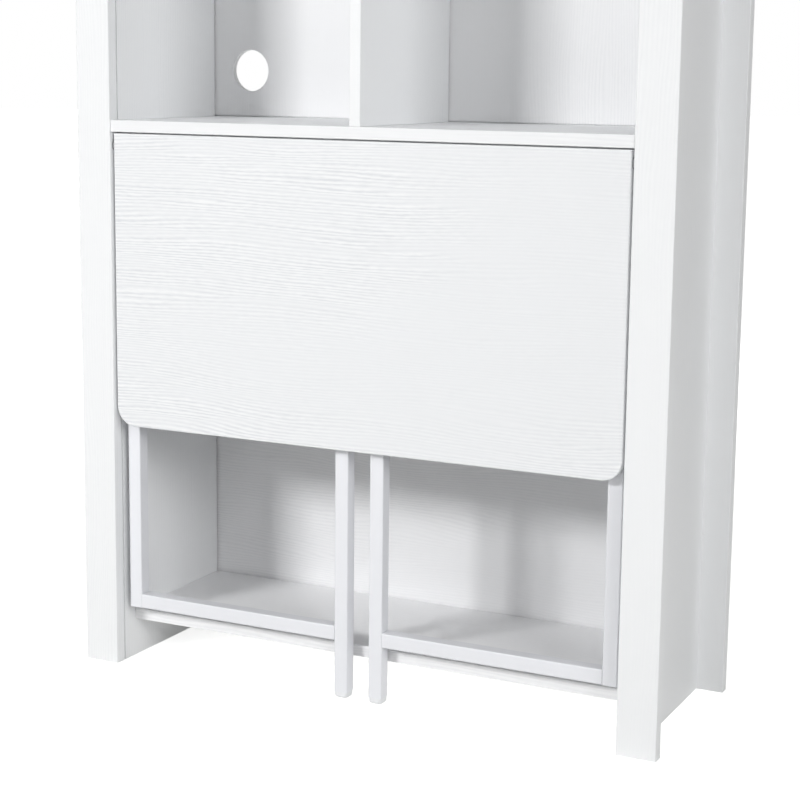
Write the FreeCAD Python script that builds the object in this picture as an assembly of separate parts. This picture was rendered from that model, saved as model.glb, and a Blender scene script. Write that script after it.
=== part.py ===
import FreeCAD, Part
import os

# Overall size of the desk as it stands closed, in millimetres
overall_width = 854.0
overall_depth = 305.0
overall_height = 1800.0

# Boards of the case
board_thickness = 16.0
stile_width = 53.0
stile_thickness = 18.0
stile_round = 1.5
board_round = 1.0
top_thickness = 16.0
top_round = 2.0
bottom_shelf_height = 70.0
bottom_shelf_setback = 46.0
desk_shelf_height = 768.0
shelf_setback = 2.0
book_tiers = 3

# Shadow gaps along the seams that show inside the case
seam_width = 1.8
seam_depth = 3.0

# Back panels, let into grooves in the two sides, and the lower one into a rebate in the bottom shelf
back_thickness = 9.0
back_inset = 26.0
back_seam = 2.6
groove_depth = 6.0
groove_play = 0.2
rebate_depth = 5.0
cable_hole_diameter = 60.0
cable_hole_from_side = 61.0
cable_hole_above_shelf = 67.0

# Desk leaf, hung on two pins near its top edge
leaf_thickness = 16.0
leaf_height = 404.0
leaf_setback = 3.5
leaf_top_gap = 2.0
leaf_side_gap = 3.5
leaf_corner_radius = 28.0
leaf_round = 2.0
leaf_axis_drop = 16.0

# Pins and flanged bushes of the leaf
leaf_pin_radius = 4.0
leaf_pin_in_stile = 30.0
leaf_pin_in_leaf = 22.0
bush_wall = 2.0
bush_depth = 25.0
bush_flange_radius = 7.0
bush_flange_thickness = 3.0
running_play = 0.05

# Gate legs, welded from square tube
tube_size = 20.0
tube_wall = 1.5
tube_round = 2.0
gate_setback = 21.5
post_gap = 8.0
leg_spacing = 32.0
bottom_rail_height = 80.0
plug_depth = 18.0
foot_height = 8.0
foot_corner = 5.0
foot_round = 4.0
bumper_radius = 6.0
bumper_height = 3.5
bumper_play = 0.5
bumper_inset = 40.0

# Hinge brackets that the gate posts turn on, out of sight behind the leaf
hinge_height = 50.0
hinge_reach = 15.0
hinge_plate = 1.5
hinge_corner = 2.0
hinge_knuckles = 3
hinge_knuckle_play = 0.5
hinge_end_play = 0.3
hinge_pin_radius = 1.5
hinge_below_top = 70.0
hinge_above_leaf_edge = 70.0
hinge_screw_inset = 5.5

# Cam locks and their bolts
cam_radius = 7.5
cam_depth = 12.5
cam_distance = 24.0
cam_slot_length = 9.0
cam_slot_width = 2.0
cam_slot_depth = 2.5
bolt_thread_radius = 2.9
bolt_thread_length = 11.0
bolt_shank_radius = 2.4
bolt_head_radius = 3.5
bolt_head_length = 3.0
bolt_play = 0.3
bolt_from_edge = 55.0

# Dowels and screws
dowel_radius = 3.0
stile_dowel_in_stile = 12.0
stile_dowel_in_panel = 18.0
divider_dowel_in_shelf = 10.0
divider_dowel_in_divider = 15.0
divider_dowel_from_edge = 45.0
screw_radius = 1.75
screw_head_radius = 3.5
screw_head_height = 2.0
back_screw_length = 30.0
bracket_screw_length = 14.0
fit_play = 0.05
cut_overrun = 5.0
pick_tolerance = 0.01

# Places of the dowels and screws along the pieces that they join
stile_dowel_shares = (0.08, 0.5, 0.92)
shelf_screw_shares = (0.2, 0.8)
divider_screw_shares = (0.3, 0.7)
hinge_screw_shares = (0.2, 0.8)

# The middle of a quarter circle, as a share of its radius, and the most of a board that a round takes
quarter_middle_share = 0.5 ** 0.5
round_limit_share = 0.25

# Planes that the pieces share
half_width = overall_width / 2
front_y = -overall_depth / 2
rear_y = overall_depth / 2
side_inner = half_width - stile_width
side_middle = side_inner + board_thickness / 2
side_outer = side_inner + board_thickness
side_dowel_x = side_outer - (board_thickness - groove_depth) / 2
side_front_y = front_y + stile_thickness
side_rear_y = rear_y - stile_thickness
case_top = overall_height - top_thickness
back_rear_y = rear_y - back_inset
back_front_y = back_rear_y - back_thickness
back_seat = bottom_shelf_height - rebate_depth
shelf_front_y = front_y + shelf_setback
desk_shelf_under = desk_shelf_height - board_thickness
tier_height = (case_top - desk_shelf_height - (book_tiers - 1) * board_thickness) / book_tiers

leaf_half_width = side_inner - leaf_side_gap
leaf_top = desk_shelf_under - leaf_top_gap
leaf_bottom = leaf_top - leaf_height
leaf_front_y = front_y + leaf_setback
leaf_axis_y = leaf_front_y + leaf_thickness / 2
leaf_axis_z = leaf_top - leaf_axis_drop

gate_front_y = front_y + gate_setback
gate_y = gate_front_y + tube_size / 2
post_x = side_inner - post_gap - tube_size / 2
leg_x = leg_spacing / 2 + tube_size / 2
gate_top = leaf_axis_z - leaf_thickness / 2 - bumper_play - bumper_height
hinge_knuckle_radius = post_gap / 2 - hinge_knuckle_play
hinge_x = side_inner - post_gap / 2
hinge_y = gate_front_y + hinge_knuckle_radius

X = FreeCAD.Vector(1, 0, 0)
Y = FreeCAD.Vector(0, 1, 0)
Z = FreeCAD.Vector(0, 0, 1)
ORIGIN = FreeCAD.Vector(0, 0, 0)
SIDES = {"left": -1, "right": 1}

parts = {}
bores = {}


def add(node, *solids):
    """Put solids into a node."""
    parts.setdefault(node, []).extend(solids)


def bore(node, *cutters):
    """Note shapes that are cut out of a node once all pieces are known."""
    bores.setdefault(node, []).extend(cutters)


def block(x_span, y_span, z_span):
    """A box between pairs of coordinates, given in either order."""
    low = FreeCAD.Vector(min(x_span), min(y_span), min(z_span))
    high = FreeCAD.Vector(max(x_span), max(y_span), max(z_span))
    size = high - low
    return Part.makeBox(size.x, size.y, size.z, low)


def about(middle, size):
    """The span of a given size about a middle."""
    return middle - size / 2, middle + size / 2


def edges_along(solid, direction, wanted=None):
    """Straight edges of a solid that run along a direction."""
    found = []
    for edge in solid.Edges:
        run = edge.Vertexes[-1].Point - edge.Vertexes[0].Point
        if run.Length < pick_tolerance:
            continue
        straight = abs(edge.Length - run.Length) < pick_tolerance
        if not straight or abs(abs(run.dot(direction)) - run.Length) > pick_tolerance:
            continue
        if wanted is None or wanted(edge.CenterOfMass):
            found.append(edge)
    return found


def rounded(solid, radius, direction, wanted=None):
    """Round the edges of a solid that run along a direction."""
    return solid.makeFillet(radius, edges_along(solid, direction, wanted))


def turned(profile, base, direction):
    """A solid of revolution: pairs of distance along the direction and radius."""
    corners = [FreeCAD.Vector(radius, 0, along) for along, radius in profile]
    outline = Part.makePolygon(corners + corners[:1])
    solid = Part.Face(outline).revolve(ORIGIN, Z, 360)
    solid.Placement = FreeCAD.Placement(base, FreeCAD.Rotation(Z, direction))
    return solid


def rod(radius, length, base, direction):
    """A plain round rod."""
    return Part.makeCylinder(radius, length, base, direction)


def shelf(x_half, y_span, under, top):
    """A board between the sides, with all its edges eased."""
    board = block((-x_half, x_half), y_span, (under, top))
    return board.makeFillet(board_round, board.Edges)


def stiles():
    """Four upright boards: with the side panels they make an H seen from above."""
    for name, side in SIDES.items():
        x_span = (side * side_inner, side * half_width)
        spans = {"front": (front_y, side_front_y), "rear": (side_rear_y, rear_y)}
        for place, y_span in spans.items():
            upright = block(x_span, y_span, (0, case_top))
            add(f"{name}_{place}_stile", rounded(upright, stile_round, Z))


def side_panels():
    """Side boards between the stiles, flush with their inner edges, grooved for the backs.

    A shadow gap parts each from its front stile.
    """
    for name, side in SIDES.items():
        node = f"{name}_side_panel"
        x_span = (side * side_inner, side * side_outer)
        panel = block(x_span, (side_front_y, side_rear_y), (0, case_top))
        add(node, rounded(panel, board_round, Z))
        groove_x = (side * (side_inner - cut_overrun), side * (side_inner + groove_depth))
        groove_y = (back_front_y - back_seam, back_rear_y + groove_play)
        bore(node, block(groove_x, groove_y, (back_seat, case_top + cut_overrun)))
        seam_x = (side * (side_inner - cut_overrun), side * (side_inner + seam_depth))
        seam_y = (side_front_y - cut_overrun, side_front_y + seam_width)
        bore(node, block(seam_x, seam_y, (-cut_overrun, case_top + cut_overrun)))


def fixed_shelves():
    """The boards that tie the two sides together, from the bottom shelf to the top."""
    bottom_y = (front_y + bottom_shelf_setback, back_rear_y)
    bottom_under = bottom_shelf_height - board_thickness
    add("bottom_shelf", shelf(side_inner, bottom_y, bottom_under, bottom_shelf_height))
    desk_y = (shelf_front_y, back_rear_y)
    add("desk_shelf", shelf(side_inner, desk_y, desk_shelf_under, desk_shelf_height))
    levels = {"bottom_shelf": (bottom_under, bottom_y), "desk_shelf": (desk_shelf_under, desk_y)}
    for count, node in enumerate(book_shelf_nodes(), start=1):
        under = desk_shelf_height + count * tier_height + (count - 1) * board_thickness
        levels[node] = (under, (shelf_front_y, back_front_y))
        add(node, shelf(side_inner, levels[node][1], under, under + board_thickness))
    for node, (under, y_span) in levels.items():
        lock_shelf(node, under, y_span)


def book_shelf_nodes():
    """Names of the book shelves from the desk shelf up."""
    return [f"book_shelf_{count}" for count in range(1, book_tiers)]


def top_panel():
    """The board that covers both sides and all four stiles."""
    board = block((-half_width, half_width), (front_y, rear_y), (case_top, overall_height))
    board = rounded(board, stile_round, Z)
    upper = [edge for edge in board.Edges if edge.BoundBox.ZMin > overall_height - pick_tolerance]
    add("top_panel", board.makeFillet(min(top_round, top_thickness * round_limit_share), upper))
    for name, side in SIDES.items():
        for y in (side_front_y + bolt_from_edge, back_front_y - bolt_from_edge):
            point = FreeCAD.Vector(side * side_middle, y, case_top)
            cam_joint("top_panel", f"{name}_side_panel", point, -Z, -side * X, board_thickness)


def lock_shelf(node, under, y_span):
    """Two cam locks at each end of a shelf, entered from below."""
    for name, side in SIDES.items():
        for y in (min(y_span) + bolt_from_edge, max(y_span) - bolt_from_edge):
            point = FreeCAD.Vector(side * side_inner, y, under + board_thickness / 2)
            cam_joint(f"{name}_side_panel", node, point, -side * X, -Z, board_thickness)


def cam_joint(holder, drawn, point, inward, face, thickness):
    """A bolt screwed into the holder and a cam that draws the other board on to it."""
    head_start = bolt_thread_length + cam_distance - bolt_head_length / 2
    head_end = head_start + bolt_head_length
    profile = [
        (0, 0),
        (0, bolt_thread_radius),
        (bolt_thread_length, bolt_thread_radius),
        (bolt_thread_length, bolt_shank_radius),
        (head_start, bolt_shank_radius),
        (head_start, bolt_head_radius),
        (head_end, bolt_head_radius),
        (head_end, 0),
    ]
    add("cam_bolts", turned(profile, point - inward * bolt_thread_length, inward))
    bore(holder, rod(bolt_thread_radius + fit_play, bolt_thread_length, point, -inward))
    bore(drawn, rod(bolt_head_radius + bolt_play, cam_distance, point, inward))
    mouth = point + inward * cam_distance + face * (thickness / 2)
    bore(drawn, rod(cam_radius + fit_play, cam_depth, mouth, -face))
    add("cam_locks", cam(mouth, -inward, -face, thickness / 2))


def cam(mouth, towards_bolt, into_board, bolt_depth):
    """A round cam with a screwdriver slot and a channel for the head of its bolt."""
    body = Part.makeCylinder(cam_radius, cam_depth)
    room = bolt_head_radius + bolt_play
    channel_x = (-bolt_head_length / 2 - bolt_play, cam_radius + cut_overrun)
    body = body.cut(block(channel_x, (-room, room), about(bolt_depth, room * 2)))
    slot = block(about(0, cam_slot_length), about(0, cam_slot_width), (0, cam_slot_depth))
    body = body.cut(slot)
    turn = FreeCAD.Rotation(towards_bolt, into_board.cross(towards_bolt), into_board, "ZXY")
    body.Placement = FreeCAD.Placement(mouth, turn)
    return body


def dowel(first, first_depth, second, second_depth, point, direction):
    """A dowel across the joint of two boards, from the first into the second."""
    length = first_depth + second_depth
    base = point - direction * first_depth
    add("dowels", rod(dowel_radius, length, base, direction))
    for node in (first, second):
        bore(node, rod(dowel_radius + fit_play, length, base, direction))


def stile_dowels():
    """Dowels that join each stile to the edge of its side panel."""
    for name, side in SIDES.items():
        for share in stile_dowel_shares:
            for place, y, way in (("front", side_front_y, Y), ("rear", side_rear_y, -Y)):
                point = FreeCAD.Vector(side * side_dowel_x, y, case_top * share)
                stile = f"{name}_{place}_stile"
                panel = f"{name}_side_panel"
                dowel(stile, stile_dowel_in_stile, panel, stile_dowel_in_panel, point, way)


def divider():
    """The upright board that halves the first tier above the desk, with shadow gaps along the back."""
    top = desk_shelf_height + tier_height
    x_span = about(0, board_thickness)
    board = block(x_span, (shelf_front_y, back_front_y), (desk_shelf_height, top))
    add("centre_divider", board.makeFillet(board_round, board.Edges))
    seam_y = (back_front_y - back_seam, back_front_y + cut_overrun)
    seam_z = (desk_shelf_height - cut_overrun, top + cut_overrun)
    for face_x in x_span:
        bore("centre_divider", block(about(face_x, seam_depth * 2), seam_y, seam_z))
    ends = (("desk_shelf", desk_shelf_height, Z), (book_shelf_nodes()[0], top, -Z))
    for node, z, way in ends:
        for y in (shelf_front_y + divider_dowel_from_edge, back_front_y - divider_dowel_from_edge):
            point = FreeCAD.Vector(0, y, z)
            depths = divider_dowel_in_shelf, divider_dowel_in_divider
            dowel(node, depths[0], "centre_divider", depths[1], point, way)


def back_panels():
    """A lower back that stands in its rebate, and an upper back with a shadow gap below and a cable hole."""
    half = side_inner + groove_depth - groove_play
    y_span = (back_front_y, back_rear_y)
    add("lower_back_panel", block((-half, half), y_span, (back_seat, desk_shelf_under)))
    add("upper_back_panel", block((-half, half), y_span, (desk_shelf_height, case_top)))
    rebate_y = (back_front_y - back_seam, back_rear_y + cut_overrun)
    rebate_z = (back_seat, bottom_shelf_height + cut_overrun)
    bore("bottom_shelf", block((-half, half), rebate_y, rebate_z))
    seam_y = (back_front_y - cut_overrun, back_front_y + seam_depth)
    seam_z = (desk_shelf_height - cut_overrun, desk_shelf_height + seam_width)
    bore("upper_back_panel", block((-half - cut_overrun, half + cut_overrun), seam_y, seam_z))
    hole_x = cable_hole_from_side - side_inner
    hole_z = desk_shelf_height + cable_hole_above_shelf
    start = FreeCAD.Vector(hole_x, back_front_y - cut_overrun, hole_z)
    through = back_thickness + cut_overrun * 2
    bore("upper_back_panel", rod(cable_hole_diameter / 2, through, start, Y))
    back_screws()


def back_screws():
    """Screws from behind into the book shelves and the divider."""
    for count, node in enumerate(book_shelf_nodes(), start=1):
        middle = desk_shelf_height + count * (tier_height + board_thickness) - board_thickness / 2
        for share in shelf_screw_shares:
            x = side_inner * (share * 2 - 1)
            back_screw(node, FreeCAD.Vector(x, back_rear_y, middle))
    for share in divider_screw_shares:
        z = desk_shelf_height + tier_height * share
        back_screw("centre_divider", FreeCAD.Vector(0, back_rear_y, z))


def back_screw(node, base):
    """One screw through the upper back into the edge of a board."""
    add("back_panel_screws", screw(base, -Y, back_screw_length, 0))
    for drilled in ("upper_back_panel", node):
        bore(drilled, screw(base, -Y, back_screw_length, fit_play))


def screw(base, direction, length, play):
    """A countersunk screw, or with some play the hole for it."""
    taper_start = length - screw_radius
    profile = [
        (0, 0),
        (0, screw_head_radius + play),
        (screw_head_height, screw_radius + play),
        (taper_start, screw_radius + play),
        (length + play, 0),
    ]
    return turned(profile, base, direction)


def leaf():
    """The desk leaf: square at the hinge, round at the free corners, eased all round."""
    low_corner = leaf_bottom + leaf_corner_radius
    inner = leaf_half_width - leaf_corner_radius
    lean = leaf_corner_radius * quarter_middle_share
    y = leaf_front_y

    def at(x, z):
        return FreeCAD.Vector(x, y, z)

    def corner(side):
        start = at(side * leaf_half_width, low_corner)
        middle = at(side * (inner + lean), low_corner - lean)
        return Part.Arc(start, middle, at(side * inner, leaf_bottom)).toShape()

    outline = Part.Wire(Part.__sortEdges__([
        Part.LineSegment(at(-leaf_half_width, leaf_top), at(leaf_half_width, leaf_top)).toShape(),
        Part.LineSegment(at(leaf_half_width, leaf_top), at(leaf_half_width, low_corner)).toShape(),
        corner(1),
        Part.LineSegment(at(inner, leaf_bottom), at(-inner, leaf_bottom)).toShape(),
        corner(-1),
        Part.LineSegment(at(-leaf_half_width, low_corner), at(-leaf_half_width, leaf_top)).toShape(),
    ]))
    board = Part.Face(outline).extrude(Y * leaf_thickness)
    across = edges_along(board, Y)
    rim = [edge for edge in board.Edges if not any(edge.isSame(other) for other in across)]
    add("desk_leaf", board.makeFillet(min(leaf_round, leaf_thickness * round_limit_share), rim))


def leaf_pivots():
    """Steel pins in the stiles and flanged bushes in the ends of the leaf."""
    bush_radius = leaf_pin_radius + bush_wall
    bush_bore = leaf_pin_radius + running_play
    for name, side in SIDES.items():
        inward = -side * X
        end = FreeCAD.Vector(side * leaf_half_width, leaf_axis_y, leaf_axis_z)
        seat = FreeCAD.Vector(side * side_inner, leaf_axis_y, leaf_axis_z)
        pin_start = seat - inward * leaf_pin_in_stile
        pin_length = leaf_pin_in_stile + leaf_side_gap + leaf_pin_in_leaf
        add("leaf_pivot_pins", rod(leaf_pin_radius, pin_length, pin_start, inward))
        bore(f"{name}_front_stile", rod(leaf_pin_radius + fit_play, leaf_pin_in_stile, seat, -inward))
        profile = [
            (-bush_flange_thickness, bush_bore),
            (-bush_flange_thickness, bush_flange_radius),
            (0, bush_flange_radius),
            (0, bush_radius),
            (bush_depth, bush_radius),
            (bush_depth, bush_bore),
        ]
        add("leaf_bushes", turned(profile, end, inward))
        bore("desk_leaf", rod(bush_radius + fit_play, bush_depth, end, inward))


def tube(direction, span, first, second):
    """A square tube along X or Z, with its middle at two coordinates across it."""
    def prism(size, radius):
        if direction is X:
            solid = block(span, about(first, size), about(second, size))
        else:
            solid = block(about(first, size), about(second, size), span)
        return rounded(solid, radius, direction)

    inner_size = tube_size - tube_wall * 2
    inner_round = max(tube_round - tube_wall, fit_play)
    return prism(tube_size, tube_round).cut(prism(inner_size, inner_round))


def plug(x, z_span):
    """A plastic plug that fills the end of an upright tube."""
    size = tube_size - (tube_wall + fit_play) * 2
    solid = block(about(x, size), about(gate_y, size), z_span)
    return rounded(solid, max(tube_round - tube_wall, fit_play), Z)


def foot(x):
    """A plastic foot with a soft outline and a stem inside the leg."""
    cap = block(about(x, tube_size), about(gate_y, tube_size), (0, foot_height))
    cap = rounded(cap, foot_corner, Z)
    lower = [edge for edge in cap.Edges if edge.BoundBox.ZMax < pick_tolerance]
    cap = cap.makeFillet(foot_round, lower)
    return cap.fuse(plug(x, (foot_height, foot_height + plug_depth))).removeSplitter()


def gates():
    """Two welded frames: a post that turns, two rails and a leg that stands on the floor."""
    low_rail_z = bottom_rail_height + tube_size / 2
    top_rail_z = gate_top - tube_size / 2
    for name, side in SIDES.items():
        x_post = side * post_x
        x_leg = side * leg_x
        rail = (x_post - side * tube_size / 2, x_leg + side * tube_size / 2)
        add(f"{name}_gate_post", tube(Z, (bottom_rail_height, gate_top), x_post, gate_y))
        add(f"{name}_gate_leg", tube(Z, (foot_height, gate_top), x_leg, gate_y))
        add(f"{name}_gate_bottom_rail", tube(X, rail, gate_y, low_rail_z))
        add(f"{name}_gate_top_rail", tube(X, rail, gate_y, top_rail_z))
        add(f"{name}_gate_foot", foot(x_leg))
        for x in (x_leg, x_post):
            add(f"{name}_gate_plugs", plug(x, (gate_top - plug_depth, gate_top)))
        low_plug = (bottom_rail_height, bottom_rail_height + plug_depth)
        add(f"{name}_gate_plugs", plug(x_post, low_plug))
        for x in (x_post - side * bumper_inset, x_leg + side * bumper_inset):
            base = FreeCAD.Vector(x, gate_y, gate_top)
            add(f"{name}_gate_bumpers", rod(bumper_radius, bumper_height, base, Z))
        for middle in (leaf_bottom + hinge_above_leaf_edge, gate_top - hinge_below_top):
            gate_hinge(name, side, middle - hinge_height / 2)


def gate_hinge(name, side, low):
    """A hinge in the gap beside a post: a plate on the side panel, a plate on the post and a pin."""
    pin_base = FreeCAD.Vector(side * hinge_x, hinge_y, low)
    add("gate_pivot_pins", rod(hinge_pin_radius, hinge_height, pin_base, Z))
    fixed = hinge_half(pin_base, side * side_inner, -side, 0)
    for share in hinge_screw_shares:
        y = hinge_y + hinge_reach - hinge_screw_inset
        start = FreeCAD.Vector(side * (side_inner - hinge_plate), y, low + hinge_height * share)
        add("bracket_screws", screw(start, side * X, bracket_screw_length, 0))
        cutter = screw(start, side * X, bracket_screw_length, fit_play)
        fixed = fixed.cut(cutter)
        bore(f"{name}_side_panel", cutter)
    moving = hinge_half(pin_base, side * (side_inner - post_gap), side, 1)
    add(f"{name}_gate_brackets", fixed, moving)


def hinge_half(pin_base, seat_x, inward, own):
    """A plate on the plane seat_x, with every second knuckle about the pin from number own."""
    low = pin_base.z
    x_span = (seat_x, seat_x + inward * hinge_plate)
    rear = hinge_y + hinge_reach
    plate = block(x_span, (hinge_y, rear), (low, low + hinge_height))
    plate = rounded(plate, hinge_corner, X, lambda at: at.y > rear - pick_tolerance)
    half = plate.fuse(rod(hinge_knuckle_radius, hinge_height, pin_base, Z))
    cutters = [rod(hinge_pin_radius + running_play, hinge_height, pin_base, Z)]
    length = hinge_height / hinge_knuckles
    for count in range(hinge_knuckles):
        if count % 2 != own:
            room = about(low + length * count + length / 2, length + hinge_end_play)
            cutters.append(block(about(pin_base.x, post_gap), about(hinge_y, post_gap), room))
    return half.cut(cutters).removeSplitter()


def write_parts():
    """Cut the noted bores and write one file per node."""
    os.makedirs("parts", exist_ok=True)
    for node, solids in parts.items():
        if node in bores:
            solids = [solid.cut(bores[node]) for solid in solids]
        shape = solids[0] if len(solids) == 1 else Part.makeCompound(solids)
        shape.exportStep(f"parts/{node}.step")


def main():
    stiles()
    side_panels()
    fixed_shelves()
    top_panel()
    stile_dowels()
    divider()
    back_panels()
    leaf()
    leaf_pivots()
    gates()
    write_parts()


main()
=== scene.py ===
"""Finishes, welds, screws, stage, lamps and camera for a white convertible desk, built round its CAD frame."""
import math

import bmesh
import bpy
from mathutils import Matrix, Vector


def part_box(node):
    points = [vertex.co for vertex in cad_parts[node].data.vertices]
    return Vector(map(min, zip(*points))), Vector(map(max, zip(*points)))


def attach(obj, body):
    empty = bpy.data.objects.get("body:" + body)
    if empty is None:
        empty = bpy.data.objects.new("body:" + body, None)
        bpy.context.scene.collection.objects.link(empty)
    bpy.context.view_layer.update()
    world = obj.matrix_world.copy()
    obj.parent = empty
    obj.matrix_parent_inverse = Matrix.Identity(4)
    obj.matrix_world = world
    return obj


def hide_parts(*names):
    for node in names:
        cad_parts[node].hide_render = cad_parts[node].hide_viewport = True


bl_info = {
    "name": "Convertible desk",
    "version": (1, 0, 0),
    "blender": (4, 5, 0),
    "location": "3D View > Sidebar > Desk",
    "description": "Finishes, small fittings and a stage for a convertible desk",
    "category": "Object",
}

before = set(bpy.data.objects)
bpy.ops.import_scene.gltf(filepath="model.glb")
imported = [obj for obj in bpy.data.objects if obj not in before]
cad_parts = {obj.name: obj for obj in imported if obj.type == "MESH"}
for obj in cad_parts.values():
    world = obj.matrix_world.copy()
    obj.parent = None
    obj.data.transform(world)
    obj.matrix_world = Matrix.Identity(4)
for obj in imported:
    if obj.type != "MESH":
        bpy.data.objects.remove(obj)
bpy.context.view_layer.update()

MM = 0.001

# CAD nodes that share a finish
UPRIGHT_BOARDS = (
    "left_front_stile", "right_front_stile", "left_rear_stile", "right_rear_stile",
    "left_side_panel", "right_side_panel", "centre_divider",
)
LEVEL_BOARDS = ("desk_shelf", "book_shelf_1", "book_shelf_2", "top_panel")
ZINC_FITTINGS = (
    "leaf_pivot_pins", "gate_pivot_pins", "cam_locks", "cam_bolts", "back_panel_screws", "bracket_screws",
)
GATE_SIDES = ("left", "right")
GATE_RAILS = ("top_rail", "bottom_rail")
GATE_STEEL = ("post", "leg", *GATE_RAILS, "brackets")
GATE_PLASTIC = ("plugs", "foot")

# Noise of every size keeps nearly all of its values between these two
NOISE_LOW = 0.3
NOISE_HIGH = 0.7

# Lines of the pressed grain: how many lines apart the noise pushes them, the height from a ridge to a valley, and
# the dip of the face where they have faded out
LINE_PUSH = 1.2
LINE_HEIGHT = 0.5
REST_DIP = 0.2

# Finest features of the other finishes
GRIT_SIZE = 0.5 * MM
DUST_SIZE = 2.5 * MM
CLOUD_SIZE = 3.0 * MM
FLECK_SIZE = 1.2 * MM
MOTTLE_SIZE = 40 * MM

# A weld bead: sides of the bar that it is cut from, its share of the tube's height, half of a ripple, and its
# thickness at the ends, in the valleys and on the crests
BEAD_SIDES = 16
BEAD_SHARE = 0.86
HALF_RIPPLE = 1.0 * MM
END_SWELL = 0.45
VALLEY_SWELL = 0.82
CREST_SWELL = 1.0

# A screw: its sides, its rim, shank and point as shares of the head's radius, and how far the recess narrows
SCREW_SIDES = 32
RIM_SHARE = 0.07
SHANK_SHARE = 0.5
POINT_SHARE = 1 / 12
RECESS_TAPER = 0.55

SMOOTH_ANGLE = math.radians(35)
MERGE_DISTANCE = 0.001 * MM
SORT_DIGITS = 5

# The floor's sides, and the share of its radius that lies outside its middle face
FLOOR_SIDES = 96
FLOOR_INSET = 0.9
WHITE = (1, 1, 1, 1)

# The softboxes stand at one distance round a point of the desk. Their axes run to a lower point, and grids narrow
# the light, so that the desk's top, which is nearer to them, isn't too bright.
LAMP_CENTRE = Vector((0.0, -0.15, 0.55))
LAMP_TARGET = Vector((0.0, -0.15, 0.2))
LAMP_DISTANCE = 3.6

# The camera's place and shift, and its angles in radians
CAMERA_PLACE = (1.08601, -2.21542, 0.848)
CAMERA_TILT = 0.16548
CAMERA_ROLL = -0.01094
CAMERA_TURN = 0.45972
CAMERA_SHIFT = -0.04
SENSOR_WIDTH = 36
VIEW_END = 200


def linear(hex_colour):
    """Linear colour, with full alpha, of an sRGB hex value."""
    channels = [int(hex_colour[i:i + 2], 16) / 255 for i in (1, 3, 5)]
    return [c / 12.92 if c <= 0.04045 else ((c + 0.055) / 1.055) ** 2.4 for c in channels] + [1.0]


def colour_of(label, hint, hex_colour):
    """A colour that a user can change."""
    return bpy.props.FloatVectorProperty(
        name=label, description=hint, subtype="COLOR", size=4, min=0, max=1, default=linear(hex_colour))


def length_of(label, hint, millimetres):
    """A length that a user can change, kept in metres."""
    return bpy.props.FloatProperty(
        name=label, description=hint, subtype="DISTANCE", unit="LENGTH", min=0, default=millimetres * MM)


def size_pair(label, hint, millimetres):
    """Two lengths that a user can change, kept in metres."""
    return bpy.props.FloatVectorProperty(
        name=label, description=hint, subtype="XYZ_LENGTH", unit="LENGTH", size=2, min=0,
        default=[value * MM for value in millimetres])


def power_of(label, hint, watts):
    """A lamp's power that a user can change."""
    return bpy.props.FloatProperty(
        name=label, description=hint, subtype="POWER", unit="POWER", min=0, default=watts)


class DeskFinishes(bpy.types.PropertyGroup):
    """Colours and surface sizes of the desk's materials."""
    board: colour_of("Board", "White of the melamine faces", "#F5F6F7")
    # Painted light: a brighter copy of the board's white, which stands in for light that falls inside the desk
    painted_light_white: colour_of("Back board", "Brighter white of the backs and the bottom shelf", "#FBFBFC")
    grain: colour_of("Grain", "Tone in the valleys of the pressed grain", "#DEE0E3")
    steel: colour_of("Steel", "Powder coat of the gate legs", "#EBECF0")
    plastic: colour_of("Plastic", "Feet and plugs", "#ECEDEF")
    nylon: colour_of("Nylon", "Bushes that the leaf turns on", "#85878A")
    rubber: colour_of("Rubber", "Bumpers under the raised leaf", "#8B8D90")
    zinc: colour_of("Zinc", "Plated pins, screws and cams", "#C4C7CA")
    beech: colour_of("Beech", "Light wood of the dowels", "#D8B58C")
    beech_fleck: colour_of("Beech fleck", "Darker flecks in the dowels", "#B98B5E")
    grain_spacing: length_of("Grain spacing", "Distance between lines of the grain", 4.4)
    grain_depth: length_of("Grain depth", "Depth of the pressed grain", 0.1)
    sway: size_pair("Sway", "Length and width over which the lines bend together", (260.0, 60.0))
    line: size_pair("Line", "Length and width over which the lines come and go", (110.0, 9.0))
    patch: size_pair("Patch", "Length and width of a patch over which the lines fade", (520.0, 260.0))
    pore: size_pair("Pore", "Length and width of the short pores", (11.0, 1.7))
    peel: length_of("Orange peel", "Distance between the dimples of the powder coat", 1.6)


class DeskDetails(bpy.types.PropertyGroup):
    """Sizes of the small pieces that are modelled here."""
    weld_width: length_of("Weld width", "Width of a bead behind a tube joint", 5.0)
    weld_height: length_of("Weld height", "How far a bead stands proud", 1.1)
    recess_width: length_of("Recess width", "Span of the cross recess in a screw", 3.8)
    recess_arm: length_of("Recess arm", "Width of one arm of the recess", 0.9)
    recess_depth: length_of("Recess depth", "Depth of the cross recess", 2.1)


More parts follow.
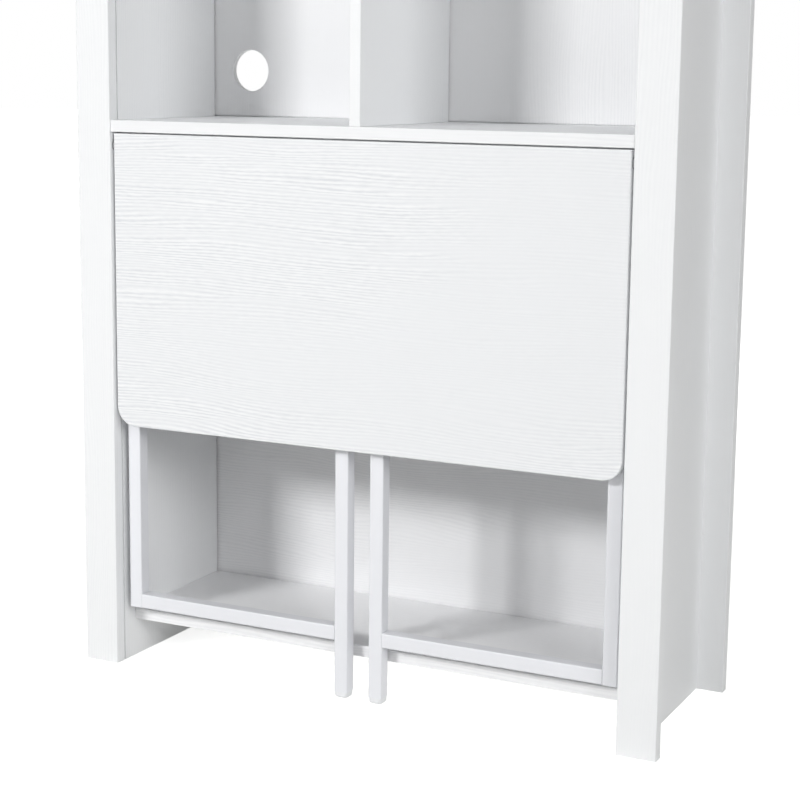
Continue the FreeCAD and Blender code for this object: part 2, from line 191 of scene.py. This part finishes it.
class DeskStage(bpy.types.PropertyGroup):
    """Floor, light and lens."""
    floor: colour_of("Floor", "Pale floor under the desk", "#F4F4F2")
    floor_radius: length_of("Floor radius", "Reach of the floor round the desk", 30000.0)
    floor_glow: bpy.props.FloatProperty(
        name="Floor glow", description="Lift of the floor near the desk, where it is seen or reflected",
        min=0, default=0.68)
    fade_start: length_of("Fade start", "Distance from the middle at which the floor starts to whiten", 900.0)
    fade_end: length_of("Fade end", "Distance from the middle at which the floor is white", 2600.0)
    sky: colour_of("Sky", "Tint of the light from all round", "#FEFEFF")
    sky_strength: bpy.props.FloatProperty(
        name="Sky strength", description="Strength of the light from all round", min=0, default=0.08)
    key_power: power_of("Key power", "Power of the small softbox to the front left", 32.6)
    key_size: size_pair("Key size", "Width and height of the key softbox", (900.0, 600.0))
    fill_power: power_of("Fill power", "Power of the broad softbox to the right", 25.6)
    fill_size: size_pair("Fill size", "Width and height of the fill softbox", (1800.0, 1400.0))
    back_power: power_of("Back power", "Power of the broad softbox behind, to the left", 30.0)
    back_size: size_pair("Back size", "Width and height of the back softbox", (2400.0, 900.0))
    spread: bpy.props.FloatProperty(
        name="Spread", description="Angle that the grids of the softboxes let through", subtype="ANGLE",
        min=0, max=math.pi, default=math.radians(120))
    lens: bpy.props.FloatProperty(
        name="Lens", description="Focal length on a 36 mm sensor", subtype="DISTANCE_CAMERA",
        min=1, default=82.11)


# Nodes and materials

def add_node(tree, kind, inputs=None, **settings):
    """Add a node, set its options, and set or link its inputs."""
    node = tree.nodes.new(kind)
    for name, value in settings.items():
        setattr(node, name, value)
    for socket, value in (inputs or {}).items():
        if isinstance(value, bpy.types.NodeSocket):
            tree.links.new(value, node.inputs[socket])
        else:
            node.inputs[socket].default_value = value
    return node


def new_material(name):
    """An empty node material and the object's own coordinates in it."""
    material = bpy.data.materials.new(name)
    material.use_nodes = True
    tree = material.node_tree
    tree.nodes.clear()
    place = add_node(tree, "ShaderNodeTexCoord").outputs["Object"]
    return material, tree, place


def close_material(tree, inputs):
    """Put a principled shader and the output on a material."""
    shader = add_node(tree, "ShaderNodeBsdfPrincipled", inputs)
    add_node(tree, "ShaderNodeOutputMaterial", {"Surface": shader.outputs["BSDF"]})


def along_and_across(axis, along, across):
    """A vector with one value on the grain's axis and another on the two axes across it."""
    return tuple(along if name == axis else across for name in "XYZ")


def melamine(name, axis, finishes, white, sway, strength, seed):
    """Chipboard faced with white melamine that was pressed against a wood-grain plate.

    To the eye it is a satin white with fine wavy lines along the board, a shade darker where they dip, broken up
    by short pores and fainter in patches. White is the tone between the lines. Sway says by how many lines they
    drift, strength how strong they are, and seed which part of the plate was pressed.
    """
    material, tree, place = new_material(name)

    def streaks(size):
        """Noise about one half, drawn out along the grain."""
        scale = along_and_across(axis, 1 / size[0], 1 / size[1])
        drawn = add_node(tree, "ShaderNodeMapping", {"Vector": place, "Scale": scale, "Location": seed})
        noise = add_node(tree, "ShaderNodeTexNoise", {
            "Vector": drawn.outputs["Vector"], "Scale": 1.0, "Detail": 0.0})
        return noise.outputs["Fac"]

    steps = along_and_across(axis, 0, 1 / finishes.grain_spacing)
    level = add_node(tree, "ShaderNodeVectorMath", {0: place, 1: steps}, operation="DOT_PRODUCT")
    swayed = add_node(tree, "ShaderNodeMath", {
        0: streaks(finishes.sway), 1: sway, 2: level.outputs["Value"]}, operation="MULTIPLY_ADD")
    # The same noise pushes the lines apart and lets each of them come and go
    drift = streaks(finishes.line)
    phase = add_node(tree, "ShaderNodeMath", {
        0: drift, 1: LINE_PUSH, 2: swayed.outputs["Value"]}, operation="MULTIPLY_ADD")
    line = add_node(tree, "ShaderNodeMath", {
        0: phase.outputs["Value"], 1: LINE_HEIGHT}, operation="PINGPONG")
    press = add_node(tree, "ShaderNodeMapRange", {
        "Value": drift, "From Min": NOISE_LOW, "From Max": 0.6, "To Min": 0.45, "To Max": 1.2})
    fade = add_node(tree, "ShaderNodeMapRange", {
        "Value": streaks(finishes.patch), "From Min": 0.34, "From Max": 0.6, "To Min": 0.15, "To Max": 1.0})
    depth = add_node(tree, "ShaderNodeMath", {
        0: press.outputs["Result"], 1: fade.outputs["Result"]}, operation="MULTIPLY")
    pores = add_node(tree, "ShaderNodeMapRange", {
        "Value": streaks(finishes.pore), "From Min": NOISE_LOW, "From Max": NOISE_HIGH,
        "To Min": -0.33, "To Max": -0.17})
    # Lines and pores swing evenly about zero, so that a patch where they fade is no lighter than the rest
    swing = add_node(tree, "ShaderNodeMath", {
        0: line.outputs["Value"], 1: pores.outputs["Result"]}, operation="ADD")
    dip = add_node(tree, "ShaderNodeMath", {
        0: swing.outputs["Value"], 1: depth.outputs["Value"], 2: REST_DIP}, operation="MULTIPLY_ADD")
    tone = add_node(tree, "ShaderNodeMapRange", {
        "Value": dip.outputs["Value"], "From Min": 0.0, "From Max": LINE_HEIGHT,
        "To Min": 0.0, "To Max": strength})
    colour = add_node(tree, "ShaderNodeMix", {
        "Factor": tone.outputs["Result"], "A": white, "B": finishes.grain}, data_type="RGBA")
    rough = add_node(tree, "ShaderNodeMapRange", {
        "Value": dip.outputs["Value"], "From Min": 0.0, "From Max": LINE_HEIGHT,
        "To Min": 0.42, "To Max": 0.56})
    relief = add_node(tree, "ShaderNodeBump", {
        "Strength": strength, "Distance": finishes.grain_depth, "Height": dip.outputs["Value"]}, invert=True)
    close_material(tree, {
        "Base Color": colour.outputs["Result"], "Roughness": rough.outputs["Result"],
        "Normal": relief.outputs["Normal"], "IOR": 1.5})
    return material


def powder_coat(finishes):
    """Steel tube with a white polyester powder coat, baked until it flowed.

    To the eye it is smoother and a little glossier than the boards, with a faint orange peel.
    """
    material, tree, place = new_material("powder_coated_steel")
    peel = add_node(tree, "ShaderNodeTexNoise", {"Vector": place, "Scale": 1 / finishes.peel, "Detail": 1.0})
    relief = add_node(tree, "ShaderNodeBump", {
        "Strength": 0.5, "Distance": 0.04 * MM, "Height": peel.outputs["Fac"]})
    rough = add_node(tree, "ShaderNodeMapRange", {
        "Value": peel.outputs["Fac"], "From Min": NOISE_LOW, "From Max": NOISE_HIGH,
        "To Min": 0.32, "To Max": 0.4})
    close_material(tree, {
        "Base Color": finishes.steel, "Roughness": rough.outputs["Result"],
        "Normal": relief.outputs["Normal"], "IOR": 1.52})
    return material


def moulded_plastic(name, colour):
    """Polypropylene or nylon, injection moulded in a lightly spark-eroded tool.

    To the eye it is soft and matt, with a very fine even grit.
    """
    material, tree, place = new_material(name)
    grit = add_node(tree, "ShaderNodeTexNoise", {"Vector": place, "Scale": 1 / GRIT_SIZE, "Detail": 2.0})
    relief = add_node(tree, "ShaderNodeBump", {
        "Strength": 0.4, "Distance": 0.03 * MM, "Height": grit.outputs["Fac"]})
    rough = add_node(tree, "ShaderNodeMapRange", {
        "Value": grit.outputs["Fac"], "From Min": NOISE_LOW, "From Max": NOISE_HIGH,
        "To Min": 0.44, "To Max": 0.56})
    close_material(tree, {
        "Base Color": colour, "Roughness": rough.outputs["Result"],
        "Normal": relief.outputs["Normal"], "IOR": 1.5})
    return material


def soft_rubber(finishes):
    """Grey rubber, die cut from sheet.

    To the eye it is dull and a little dusty, with no clear highlight.
    """
    material, tree, place = new_material("die_cut_grey_rubber")
    dust = add_node(tree, "ShaderNodeTexNoise", {"Vector": place, "Scale": 1 / DUST_SIZE, "Detail": 3.0})
    pale = add_node(tree, "ShaderNodeMapRange", {
        "Value": dust.outputs["Fac"], "From Min": 0.4, "From Max": 0.8, "To Min": 0.0, "To Max": 0.3})
    colour = add_node(tree, "ShaderNodeMix", {
        "Factor": pale.outputs["Result"], "A": finishes.rubber, "B": finishes.grain}, data_type="RGBA")
    relief = add_node(tree, "ShaderNodeBump", {
        "Strength": 0.5, "Distance": 0.05 * MM, "Height": dust.outputs["Fac"]})
    close_material(tree, {
        "Base Color": colour.outputs["Result"], "Roughness": 0.82,
        "Normal": relief.outputs["Normal"], "IOR": 1.52})
    return material


def zinc_plate(finishes):
    """Mild steel, turned or pressed and then bright zinc plated.

    To the eye it is a cool grey metal with blurred reflections and faint clouds in the plating.
    """
    material, tree, place = new_material("bright_zinc_plate")
    cloud = add_node(tree, "ShaderNodeTexNoise", {"Vector": place, "Scale": 1 / CLOUD_SIZE, "Detail": 4.0})
    rough = add_node(tree, "ShaderNodeMapRange", {
        "Value": cloud.outputs["Fac"], "From Min": NOISE_LOW, "From Max": NOISE_HIGH,
        "To Min": 0.28, "To Max": 0.46})
    close_material(tree, {
        "Base Color": finishes.zinc, "Metallic": 1.0, "Roughness": rough.outputs["Result"]})
    return material


def turned_beech(finishes):
    """Beech dowel rod, planed round and fluted.

    To the eye it is a warm pale wood with short darker flecks.
    """
    material, tree, place = new_material("turned_beech")
    fleck = add_node(tree, "ShaderNodeTexNoise", {"Vector": place, "Scale": 1 / FLECK_SIZE, "Detail": 3.0})
    dark = add_node(tree, "ShaderNodeMapRange", {
        "Value": fleck.outputs["Fac"], "From Min": 0.55, "From Max": 0.7, "To Min": 0.0, "To Max": 0.8})
    colour = add_node(tree, "ShaderNodeMix", {
        "Factor": dark.outputs["Result"], "A": finishes.beech, "B": finishes.beech_fleck}, data_type="RGBA")
    close_material(tree, {"Base Color": colour.outputs["Result"], "Roughness": 0.6, "IOR": 1.5})
    return material


def studio_floor(stage):
    """Floor in matt white paint, seen lifted towards white.

    To the eye it has no highlight and only a faint mottle. It is plain white far off and keeps the shadows near
    the desk.
    """
    material, tree, place = new_material("matt_painted_floor")
    mottle = add_node(tree, "ShaderNodeTexNoise", {"Vector": place, "Scale": 1 / MOTTLE_SIZE, "Detail": 4.0})
    rough = add_node(tree, "ShaderNodeMapRange", {
        "Value": mottle.outputs["Fac"], "From Min": NOISE_LOW, "From Max": NOISE_HIGH,
        "To Min": 0.85, "To Max": 0.95})
    away = add_node(tree, "ShaderNodeVectorMath", {0: place}, operation="LENGTH")
    lift = add_node(tree, "ShaderNodeMapRange", {
        "Value": away.outputs["Value"], "From Min": stage.fade_start, "From Max": stage.fade_end,
        "To Min": stage.floor_glow, "To Max": 1.0}, interpolation_type="SMOOTHSTEP")
    glow = add_node(tree, "ShaderNodeMath", {
        0: seen_directly(tree), 1: lift.outputs["Result"]}, operation="MULTIPLY")
    close_material(tree, {
        "Base Color": stage.floor, "Roughness": rough.outputs["Result"], "Specular IOR Level": 0.0,
        "Emission Color": WHITE, "Emission Strength": glow.outputs["Value"]})
    return material


def seen_directly(tree):
    """One for what the camera sees, straight or through a gloss or glass, and zero for what only gives light."""
    path = add_node(tree, "ShaderNodeLightPath")
    seen = path.outputs["Is Camera Ray"]
    for ray in ("Is Glossy Ray", "Is Transmission Ray"):
        either = add_node(tree, "ShaderNodeMath", {0: seen, 1: path.outputs[ray]}, operation="MAXIMUM")
        seen = either.outputs["Value"]
    return seen


def material_named(name, make, finishes):
    """A finish that is made once and then shared. Its name is none of the CAD's plain materials."""
    return bpy.data.materials.get(name) or make(finishes)


def dress(material, *nodes):
    """Give CAD nodes a material in place of the plain one that they came with."""
    for name in nodes:
        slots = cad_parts[name].data.materials
        slots.clear()
        slots.append(material)


# Modelling by hand

def start_piece(name):
    """Take the primitive that was just added as a new piece and open it for editing."""
    piece = bpy.context.object
    piece.name = name
    piece.data.name = name
    bpy.ops.object.mode_set(mode="EDIT")
    return piece


def pick(piece, kind, wanted):
    """Select the faces or verts of a piece in edit mode whose middle passes a test."""
    bpy.ops.mesh.select_mode(type={"faces": "FACE", "verts": "VERT"}[kind])
    bpy.ops.mesh.select_all(action="DESELECT")
    mesh = bmesh.from_edit_mesh(piece.data)
    for item in getattr(mesh, kind):
        corners = [item] if kind == "verts" else item.verts
        middle = sum((corner.co for corner in corners), Vector()) / len(corners)
        if wanted(middle):
            item.select_set(True)
    mesh.select_flush_mode()
    bmesh.update_edit_mesh(piece.data)


def bottom_of(piece):
    """Lowest height in a piece that is open for editing, as a negative number or zero."""
    return min(vert.co.z for vert in bmesh.from_edit_mesh(piece.data).verts)


def reach_of_selected(piece):
    """Largest distance from the axis of what is selected in edit mode."""
    return max(vert.co.xy.length for vert in bmesh.from_edit_mesh(piece.data).verts if vert.select)


def leave_editing():
    """Turn all faces outwards and leave edit mode."""
    bpy.ops.mesh.select_all(action="SELECT")
    bpy.ops.mesh.normals_make_consistent(inside=False)
    bpy.ops.object.mode_set(mode="OBJECT")


def select_only(*pieces):
    """Select some pieces and nothing else, with the first of them active."""
    bpy.ops.object.select_all(action="DESELECT")
    for piece in pieces:
        piece.select_set(True)
    bpy.context.view_layer.objects.active = pieces[0]


def repeat(pattern, name, places):
    """Copy a piece to each place and turn, each copy with its own mesh, and join the copies."""
    copies = []
    for place in places:
        copy = pattern.copy()
        copy.data = pattern.data.copy()
        copy.data.transform(place)
        bpy.context.scene.collection.objects.link(copy)
        copies.append(copy)
    bpy.data.objects.remove(pattern)
    select_only(*copies)
    bpy.ops.object.join()
    copies[0].name = name
    copies[0].data.name = name
    return copies[0]


def close_piece(piece, material, body):
    """Apply a piece's place, smooth it, and give it its finish and the body that it rides."""
    select_only(piece)
    bpy.ops.object.transform_apply(location=True, rotation=True, scale=True)
    bpy.ops.object.shade_smooth_by_angle(angle=SMOOTH_ANGLE)
    piece.data.materials.clear()
    piece.data.materials.append(material)
    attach(piece, body)


def loose_boxes(node):
    """Lowest and highest corners of each separate solid in a CAD node, in the order of their places."""
    mesh = bmesh.new()
    mesh.from_mesh(node.data)
    bmesh.ops.remove_doubles(mesh, verts=mesh.verts, dist=MERGE_DISTANCE)
    waiting = set(mesh.verts)
    boxes = []
    while waiting:
        island = [waiting.pop()]
        for vert in island:
            near = {edge.other_vert(vert) for edge in vert.link_edges} & waiting
            waiting -= near
            island.extend(near)
        low = Vector(min(vert.co[i] for vert in island) for i in range(3))
        high = Vector(max(vert.co[i] for vert in island) for i in range(3))
        boxes.append((low, high))
    mesh.free()
    return sorted(boxes, key=lambda box: tuple(round(value, SORT_DIGITS) for value in box[0]))


# Steps

class DESK_OT_face_uprights(bpy.types.Operator):
    """Face the stiles, side panels and divider with grain that runs up the boards"""
    bl_idname = "desk.face_uprights"
    bl_label = "Face Uprights"

    def execute(self, context):
        finishes = context.scene.desk_finishes
        face = melamine(
            "melamine_grain_up", "Z", finishes, finishes.board, sway=5.0, strength=0.2, seed=(3, 3, 3))
        dress(face, *UPRIGHT_BOARDS)
        return {"FINISHED"}


class DESK_OT_face_shelves(bpy.types.Operator):
    """Face the shelves and the top with grain that runs across the desk, the bottom shelf in a brighter white
    that is painted light, standing in for light that falls inside the desk
    """
    bl_idname = "desk.face_shelves"
    bl_label = "Face Shelves"

    def execute(self, context):
        finishes = context.scene.desk_finishes
        grain = {"sway": 5.0, "strength": 0.3, "seed": (5, 5, 5)}
        dress(melamine("melamine_grain_across", "X", finishes, finishes.board, **grain), *LEVEL_BOARDS)
        # Painted light: the bottom shelf is the same melamine in a brighter white, which stands in for light that
        # falls on it
        dress(melamine("bright_melamine_across", "X", finishes, finishes.painted_light_white, **grain), "bottom_shelf")
        return {"FINISHED"}


class DESK_OT_face_backs(bpy.types.Operator):
    """Face the upper back with upright grain and the lower back with grain across, both in a brighter white that
    is painted light, standing in for light that falls inside the desk
    """
    bl_idname = "desk.face_backs"
    bl_label = "Face Backs"

    def execute(self, context):
        finishes = context.scene.desk_finishes
        # Painted light: the backs get the brighter white, which stands in for light that falls inside the desk
        white = finishes.painted_light_white
        upper = melamine(
            "back_melamine_grain_up", "Z", finishes, white, sway=7.0, strength=0.25, seed=(7, 7, 7))
        lower = melamine(
            "back_melamine_grain_across", "X", finishes, white, sway=7.0, strength=0.35, seed=(9, 9, 9))
        dress(upper, "upper_back_panel")
        dress(lower, "lower_back_panel")
        return {"FINISHED"}


class DESK_OT_face_leaf(bpy.types.Operator):
    """Face the desk leaf with strong wavy grain across it"""
    bl_idname = "desk.face_leaf"
    bl_label = "Face Leaf"

    def execute(self, context):
        finishes = context.scene.desk_finishes
        # The seed puts the strong lines to the upper left and leaves the right smoother
        face = melamine(
            "leaf_melamine_grain_across", "X", finishes, finishes.board, sway=5.0, strength=1.0,
            seed=(37.25, 37, 36.7))
        dress(face, "desk_leaf")
        return {"FINISHED"}


class DESK_OT_coat_gates(bpy.types.Operator):
    """Powder coat the tubes and brackets of both gate legs"""
    bl_idname = "desk.coat_gates"
    bl_label = "Coat Gates"

    def execute(self, context):
        coat = material_named("powder_coated_steel", powder_coat, context.scene.desk_finishes)
        dress(coat, *(f"{side}_gate_{part}" for side in GATE_SIDES for part in GATE_STEEL))
        return {"FINISHED"}


class DESK_OT_mould_plastics(bpy.types.Operator):
    """Finish the feet and plugs in white plastic, the bushes in grey nylon and the bumpers in rubber"""
    bl_idname = "desk.mould_plastics"
    bl_label = "Mould Plastics"

    def execute(self, context):
        finishes = context.scene.desk_finishes
        plastic = moulded_plastic("white_polypropylene", finishes.plastic)
        dress(plastic, *(f"{side}_gate_{part}" for side in GATE_SIDES for part in GATE_PLASTIC))
        dress(moulded_plastic("moulded_grey_nylon", finishes.nylon), "leaf_bushes")
        dress(soft_rubber(finishes), *(f"{side}_gate_bumpers" for side in GATE_SIDES))
        return {"FINISHED"}


class DESK_OT_plate_fittings(bpy.types.Operator):
    """Zinc plate the pins, screws and cam fittings, and leave the dowels in beech"""
    bl_idname = "desk.plate_fittings"
    bl_label = "Plate Fittings"

    def execute(self, context):
        finishes = context.scene.desk_finishes
        dress(material_named("bright_zinc_plate", zinc_plate, finishes), *ZINC_FITTINGS)
        dress(turned_beech(finishes), "dowels")
        return {"FINISHED"}


class DESK_OT_weld_gates(bpy.types.Operator):
    """Lay a rippled bead over each tube joint, on the side that faces the shelves"""
    bl_idname = "desk.weld_gates"
    bl_label = "Weld Gates"

    def execute(self, context):
        details = context.scene.desk_details
        coat = material_named("powder_coated_steel", powder_coat, context.scene.desk_finishes)
        for side in GATE_SIDES:
            self.weld(side, details, coat)
        return {"FINISHED"}

    def weld(self, side, details, coat):
        """The four beads of one gate: a bead stands on the rear face, across the end of a rail."""
        places = []
        for rail in GATE_RAILS:
            low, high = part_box(f"{side}_gate_{rail}")
            for x in (low.x, high.x):
                places.append(Matrix.Translation((x, high.y, (low.z + high.z) / 2)))
        # Both rails are cut from one tube, so the last one gives the height
        bead = self.bead((high.z - low.z) * BEAD_SHARE, details)
        beads = repeat(bead, f"{side}_gate_welds", places)
        close_piece(beads, coat, "cabinet")

    def bead(self, length, details):
        """One bead at the origin: half of a flattened round bar along Z, with a ripple every two millimetres."""
        bpy.ops.object.select_all(action="DESELECT")
        bpy.ops.mesh.primitive_cylinder_add(
            vertices=BEAD_SIDES, radius=details.weld_width / 2, depth=length, end_fill_type="NGON")
        bead = start_piece("weld_bead")
        bpy.ops.mesh.select_all(action="SELECT")
        bpy.ops.mesh.bisect(plane_co=(0, 0, 0), plane_no=(0, -1, 0), clear_outer=True, use_fill=True)
        rings = int(length / HALF_RIPPLE) // 2 * 2
        for ring in range(1, rings):
            bpy.ops.mesh.select_all(action="SELECT")
            height = length * (ring / rings - 0.5)
            bpy.ops.mesh.bisect(plane_co=(0, 0, height), plane_no=(0, 0, 1))
        flat = 2 * details.weld_height / details.weld_width
        near = length / rings / 4
        for ring in range(rings + 1):
            height = length * (ring / rings - 0.5)
            pick(bead, "verts", lambda at: abs(at.z - height) < near)
            swell = CREST_SWELL if ring % 2 else VALLEY_SWELL
            if ring in (0, rings):
                swell = END_SWELL
            bpy.ops.transform.resize(value=(swell, swell * flat, 1), center_override=(0, 0, height))
        bpy.ops.object.mode_set(mode="OBJECT")
        return bead


class DESK_OT_drive_screws(bpy.types.Operator):
    """Model countersunk screws with a cross recess for the back panel and the brackets"""
    bl_idname = "desk.drive_screws"
    bl_label = "Drive Screws"

    def execute(self, context):
        details = context.scene.desk_details
        zinc = material_named("bright_zinc_plate", zinc_plate, context.scene.desk_finishes)
        for node, axis in (("back_panel_screws", "Y"), ("bracket_screws", "X")):
            self.drive(node, axis, details, zinc)
        return {"FINISHED"}

    def drive(self, node, axis, details, zinc):
        """Replace the plain screws of a node, one for one, from the places of its loose solids."""
        index = "XYZ".index(axis)
        places = []
        for low, high in loose_boxes(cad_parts[node]):
            middle = (low + high) / 2
            # A back screw has its head to the rear, a bracket screw has it towards the middle of the desk
            outward = 1 if axis == "Y" or middle.x < 0 else -1
            middle[index] = high[index] if outward > 0 else low[index]
            way = Vector(outward if i == index else 0 for i in range(3))
            turn = Vector((0, 0, 1)).rotation_difference(way).to_matrix().to_4x4()
            places.append(Matrix.Translation(middle) @ turn)
        # The screws of a node are alike, so the last one gives their size
        size = high - low
        screw = self.screw(size[index], size[(index + 1) % 3] / 2, details)
        screws = repeat(screw, node.replace("screws", "cross_screws"), places)
        close_piece(screws, zinc, "cabinet")
        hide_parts(node)

    def screw(self, length, head, details):
        """One screw at the origin with its head up: a disc drawn down to head, shank and point, and recessed."""
        bpy.ops.object.select_all(action="DESELECT")
        bpy.ops.mesh.primitive_circle_add(vertices=SCREW_SIDES, radius=head, fill_type="NGON")
        screw = start_piece("cross_screw")
        shank = head * SHANK_SHARE
        # Depth and radius at the lower end of the rim, the countersink, the shank and the point
        ends = ((head * RIM_SHARE, head), (shank, shank), (length - shank, shank), (length, head * POINT_SHARE))
        for depth, radius in ends:
            down = -depth - bottom_of(screw)
            bpy.ops.mesh.extrude_region_move(TRANSFORM_OT_translate={"value": (0, 0, down)})
            share = radius / reach_of_selected(screw)
            bpy.ops.transform.resize(value=(share, share, 1), center_override=(0, 0, -depth))
        leave_editing()
        cross = self.cross(details)
        select_only(screw)
        cut = screw.modifiers.new("recess", "BOOLEAN")
        cut.operation = "DIFFERENCE"
        cut.object = cross
        bpy.ops.object.modifier_apply(modifier=cut.name)
        bpy.data.objects.remove(cross)
        return screw

    def cross(self, details):
        """The tool that cuts the recess: a square block with four arms, drawn in towards its point."""
        arm, depth = details.recess_arm, details.recess_depth
        bpy.ops.object.select_all(action="DESELECT")
        # The block stands out above the head by a third of the recess's depth
        bpy.ops.mesh.primitive_cube_add(size=arm, location=(0, 0, -depth / 3))
        cross = start_piece("recess_cross")
        bpy.ops.mesh.select_all(action="SELECT")
        bpy.ops.transform.resize(value=(1, 1, 4 * depth / 3 / arm))
        reach = (details.recess_width - arm) / 2
        near = arm / 20
        for way in (Vector((1, 0, 0)), Vector((-1, 0, 0)), Vector((0, 1, 0)), Vector((0, -1, 0))):
            pick(cross, "faces", lambda at: (at - way * arm / 2).xy.length < near)
            bpy.ops.mesh.extrude_region_move(TRANSFORM_OT_translate={"value": way * reach})
        pick(cross, "verts", lambda at: at.z < 0)
        bpy.ops.transform.resize(value=(RECESS_TAPER, RECESS_TAPER, 1), center_override=(0, 0, 0))
        leave_editing()
        bpy.ops.object.transform_apply(location=True, rotation=True, scale=True)
        return cross


class DESK_OT_set_stage(bpy.types.Operator):
    """Lay the floor, light the desk and set the camera"""
    bl_idname = "desk.set_stage"
    bl_label = "Set Stage"

    def execute(self, context):
        stage = context.scene.desk_stage
        self.floor(stage)
        self.sky(context.scene, stage)
        self.softboxes(context.scene, stage)
        self.camera(context.scene, stage)
        context.scene.view_settings.view_transform = "Standard"
        return {"FINISHED"}

    def floor(self, stage):
        """A wide round floor."""
        bpy.ops.object.select_all(action="DESELECT")
        bpy.ops.mesh.primitive_circle_add(vertices=FLOOR_SIDES, radius=stage.floor_radius, fill_type="NGON")
        floor = start_piece("floor")
        bpy.ops.mesh.select_all(action="SELECT")
        bpy.ops.mesh.inset(thickness=stage.floor_radius * FLOOR_INSET)
        bpy.ops.object.mode_set(mode="OBJECT")
        floor.data.materials.append(studio_floor(stage))

    def sky(self, scene, stage):
        """Even light from all round, which cameras and reflections see as plain white."""
        world = bpy.data.worlds.new("studio")
        world.use_nodes = True
        tree = world.node_tree
        tree.nodes.clear()
        light = add_node(tree, "ShaderNodeBackground", {"Color": stage.sky, "Strength": stage.sky_strength})
        white = add_node(tree, "ShaderNodeBackground", {"Color": WHITE, "Strength": 1.0})
        mix = add_node(tree, "ShaderNodeMixShader", {
            0: seen_directly(tree), 1: light.outputs["Background"], 2: white.outputs["Background"]})
        add_node(tree, "ShaderNodeOutputWorld", {"Surface": mix.outputs["Shader"]})
        scene.world = world

    def softboxes(self, scene, stage):
        """A small key softbox to the front left, a broad fill to the right and a broad softbox behind."""
        spread = stage.spread
        self.softbox(scene, "key_softbox", stage.key_power, stage.key_size, spread, turn=-28, lift=21)
        self.softbox(scene, "fill_softbox", stage.fill_power, stage.fill_size, spread, turn=58, lift=20)
        self.softbox(scene, "back_softbox", stage.back_power, stage.back_size, spread, turn=-150, lift=5)

    def softbox(self, scene, name, power, size, spread, turn, lift):
        """One softbox, turned to the right of the front by one angle and lifted by another, in degrees."""
        light = bpy.data.lights.new(name, "AREA")
        light.shape = "RECTANGLE"
        light.size, light.size_y = size
        light.energy = power
        light.spread = spread
        lamp = bpy.data.objects.new(name, light)
        lamp.visible_camera = False
        scene.collection.objects.link(lamp)
        turn, lift = math.radians(turn), math.radians(lift)
        away = Vector((math.sin(turn) * math.cos(lift), -math.cos(turn) * math.cos(lift), math.sin(lift)))
        lamp.location = LAMP_CENTRE + away * LAMP_DISTANCE
        lamp.rotation_euler = (lamp.location - LAMP_TARGET).to_track_quat("Z", "Y").to_euler()

    def camera(self, scene, stage):
        """A camera to the front right, a little higher than the desk top, turned down to the lower half."""
        lens = bpy.data.cameras.new("camera")
        lens.sensor_width = SENSOR_WIDTH
        lens.lens = stage.lens
        lens.shift_y = CAMERA_SHIFT
        lens.clip_end = VIEW_END
        camera = bpy.data.objects.new("camera", lens)
        scene.collection.objects.link(camera)
        camera.location = CAMERA_PLACE
        camera.rotation_euler = (math.radians(90) - CAMERA_TILT, CAMERA_ROLL, CAMERA_TURN)
        scene.camera = camera


class DESK_PT_sidebar(bpy.types.Panel):
    """The desk's finishes, sizes and steps"""
    bl_idname = "DESK_PT_sidebar"
    bl_label = "Convertible desk"
    bl_space_type = "VIEW_3D"
    bl_region_type = "UI"
    bl_category = "Desk"

    def draw(self, context):
        for pointer in GROUPS:
            group = getattr(context.scene, pointer)
            box = self.layout.box()
            for name in group.__annotations__:
                box.prop(group, name)
        for step in STEPS:
            self.layout.operator(step.bl_idname)


GROUPS = {"desk_finishes": DeskFinishes, "desk_details": DeskDetails, "desk_stage": DeskStage}
STEPS = (
    DESK_OT_face_uprights, DESK_OT_face_shelves, DESK_OT_face_backs, DESK_OT_face_leaf, DESK_OT_coat_gates,
    DESK_OT_mould_plastics, DESK_OT_plate_fittings, DESK_OT_weld_gates, DESK_OT_drive_screws,
    DESK_OT_set_stage,
)


def register():
    """Make the groups, steps and panel known to Blender."""
    for kind in (*GROUPS.values(), *STEPS, DESK_PT_sidebar):
        bpy.utils.register_class(kind)
    for pointer, group in GROUPS.items():
        setattr(bpy.types.Scene, pointer, bpy.props.PointerProperty(type=group))


def unregister():
    """Take back what register made."""
    for pointer in GROUPS:
        delattr(bpy.types.Scene, pointer)
    for kind in reversed((*GROUPS.values(), *STEPS, DESK_PT_sidebar)):
        bpy.utils.unregister_class(kind)


def main():
    """Dress the desk and set the stage."""
    register()
    bpy.ops.object.select_all(action="DESELECT")
    bpy.ops.desk.face_uprights()
    bpy.ops.desk.face_shelves()
    bpy.ops.desk.face_backs()
    bpy.ops.desk.face_leaf()
    bpy.ops.desk.coat_gates()
    bpy.ops.desk.mould_plastics()
    bpy.ops.desk.plate_fittings()
    bpy.ops.desk.weld_gates()
    bpy.ops.desk.drive_screws()
    bpy.ops.desk.set_stage()


if __name__ == "__main__":
    main()
